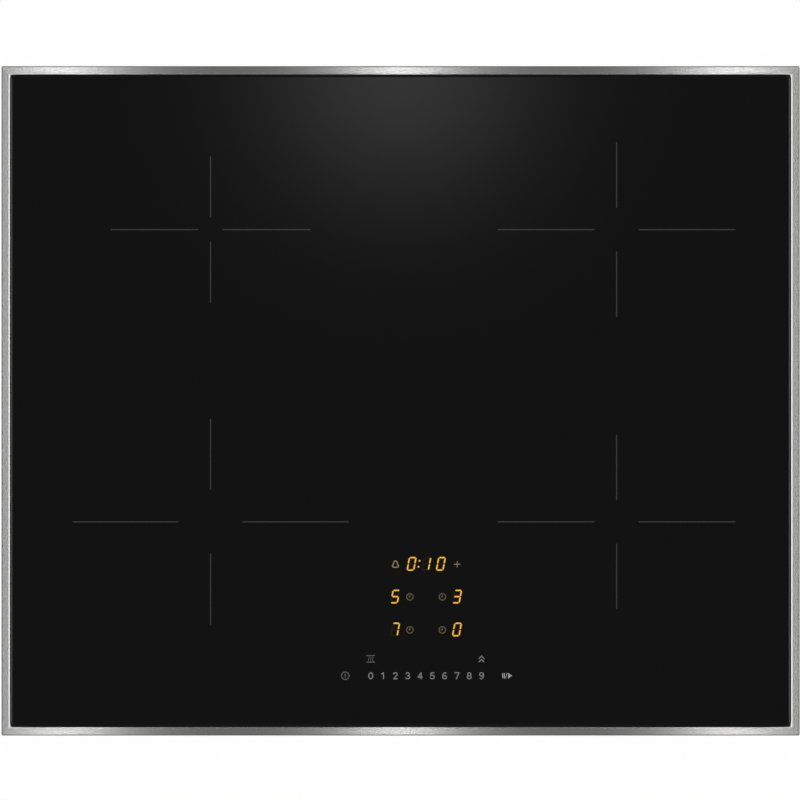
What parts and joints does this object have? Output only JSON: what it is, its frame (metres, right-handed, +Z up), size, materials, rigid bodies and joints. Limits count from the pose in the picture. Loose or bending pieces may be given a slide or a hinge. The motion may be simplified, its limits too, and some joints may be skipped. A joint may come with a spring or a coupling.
{
  "type": "electric induction cooktop",
  "caption": "Built-in induction cooktop: black glass in a raised stainless frame over a shallow vented tray that drops into a worktop cut-out.",
  "frame": {"origin": "under the middle of the casing, on the surface that its base rests on", "axes": "+X to the user's right, +Y to the rear, +Z up out of the glass"},
  "size_m": [0.614, 0.515, 0.051],
  "materials": {
    "black_glass": "polished ceramic glass, printed black",
    "brushed_stainless": "fine brushed top, polished bevel",
    "black_silicone": "matt black",
    "grey_foam": "fine open foam",
    "galvanised_steel": "zinc spangle",
    "label_aluminium": "satin, bare",
    "zinc_steel": "bright zinc",
    "black_nylon": "fine moulded grain",
    "grey_nylon": "fine moulded grain",
    "ivory_nylon": "moulded",
    "brass": "turned",
    "wire_jacket": "smooth extruded",
    "copper_litz": "stranded, varnished",
    "former_resin": "glass-filled",
    "ferrite": "sintered, matt",
    "mica": "flaky, satin",
    "sensor_ceramic": "fired, matt",
    "glass_sleeve": "braided glass fibre",
    "plain_aluminium": "mill finish",
    "board_laminate": "solder mask",
    "transistor_resin": "moulded",
    "capacitor_case": "moulded box",
    "choke_copper": "enamelled wire",
    "bright_steel": "ground",
    "sintered_bronze": "sintered",
    "stator_steel": "laminated",
    "display_resin": "cast face",
    "light_guide": "frosted",
    "contact_foam": "carbon foam",
    "ribbon_jacket": "extruded"
  },
  "bodies": {
    "casing": {"base_tray": "galvanised_steel", "board_standoffs": "ivory_nylon", "cable_gland": "black_nylon", "casing_screws": "zinc_steel", "chokes": "choke_copper", "clamp_screws": "zinc_steel", "coil_former_front_left": "former_resin", "coil_former_front_right": "former_resin", "coil_former_rear_left": "former_resin", "coil_former_rear_right": "former_resin", "coil_plate_left": "plain_aluminium", "coil_plate_right": "plain_aluminium", "coil_sleeves": "glass_sleeve", "coil_winding_front_left": "copper_litz", "coil_winding_front_right": "copper_litz", "coil_winding_rear_left": "copper_litz", "coil_winding_rear_right": "copper_litz", "control_carrier": "black_nylon", "digit_displays": "display_resin", "earth_stud": "brass", "fan_bearings": "sintered_bronze", "fan_housing_left": "black_nylon", "fan_housing_right": "black_nylon", "fan_stators": "stator_steel", "ferrite_bars": "ferrite", "film_capacitors": "capacitor_case", "filter_board": "board_laminate", "gland_nut": "black_nylon", "glass_bond": "black_silicone", "glass_top": "black_glass", "heat_sensors": "sensor_ceramic", "heatsink_left": "plain_aluminium", "heatsink_right": "plain_aluminium", "inner_screws": "zinc_steel", "inverter_board_left": "board_laminate", "inverter_board_right": "board_laminate", "mains_wires": "wire_jacket", "mica_sheets": "mica", "plate_pillars": "zinc_steel", "power_transistors": "transistor_resin", "rating_plate": "label_aluminium", "ribbon_cable": "ribbon_jacket", "symbol_lights": "light_guide", "terminal_block": "ivory_nylon", "terminal_box": "grey_nylon", "terminal_screws": "brass", "touch_board": "board_laminate", "touch_pads": "contact_foam", "trim_frame": "brushed_stainless", "worktop_seal": "grey_foam"},
    "fan_left": {"fan_rotor_left": "black_nylon", "fan_shaft_left": "bright_steel"},
    "fan_right": {"fan_rotor_right": "black_nylon", "fan_shaft_right": "bright_steel"},
    "lid": {"terminal_lid": "grey_nylon"},
    "clamp_front_left": {"clamp_front_left": "zinc_steel"},
    "clamp_rear_left": {"clamp_rear_left": "zinc_steel"},
    "clamp_front_right": {"clamp_front_right": "zinc_steel"},
    "clamp_rear_right": {"clamp_rear_right": "zinc_steel"}
  },
  "joints": [
    {"name": "fan_left_spin", "type": "hinge", "parent": "casing", "child": "fan_left", "pos_m": [-0.175, 0.15, 0.0154], "axis": [0, 0, 1], "continuous": true},
    {"name": "fan_right_spin", "type": "hinge", "parent": "casing", "child": "fan_right", "pos_m": [0.175, 0.15, 0.0154], "axis": [0, 0, 1], "continuous": true},
    {"name": "lid_swing", "type": "hinge", "parent": "casing", "child": "lid", "pos_m": [-0.0165, 0.238, 0.03], "axis": [1, 0, 0], "range_deg": [0, 95]},
    {"name": "clamp_front_left_swing", "type": "hinge", "parent": "casing", "child": "clamp_front_left", "pos_m": [-0.275, -0.15, 0.0101], "axis": [0, 0, 1], "range_deg": [0, 90]},
    {"name": "clamp_rear_left_swing", "type": "hinge", "parent": "casing", "child": "clamp_rear_left", "pos_m": [-0.275, 0.15, 0.0101], "axis": [0, 0, -1], "range_deg": [0, 90]},
    {"name": "clamp_front_right_swing", "type": "hinge", "parent": "casing", "child": "clamp_front_right", "pos_m": [0.275, -0.15, 0.0101], "axis": [0, 0, -1], "range_deg": [0, 90]},
    {"name": "clamp_rear_right_swing", "type": "hinge", "parent": "casing", "child": "clamp_rear_right", "pos_m": [0.275, 0.15, 0.0101], "axis": [0, 0, 1], "range_deg": [0, 90]}
  ]
}
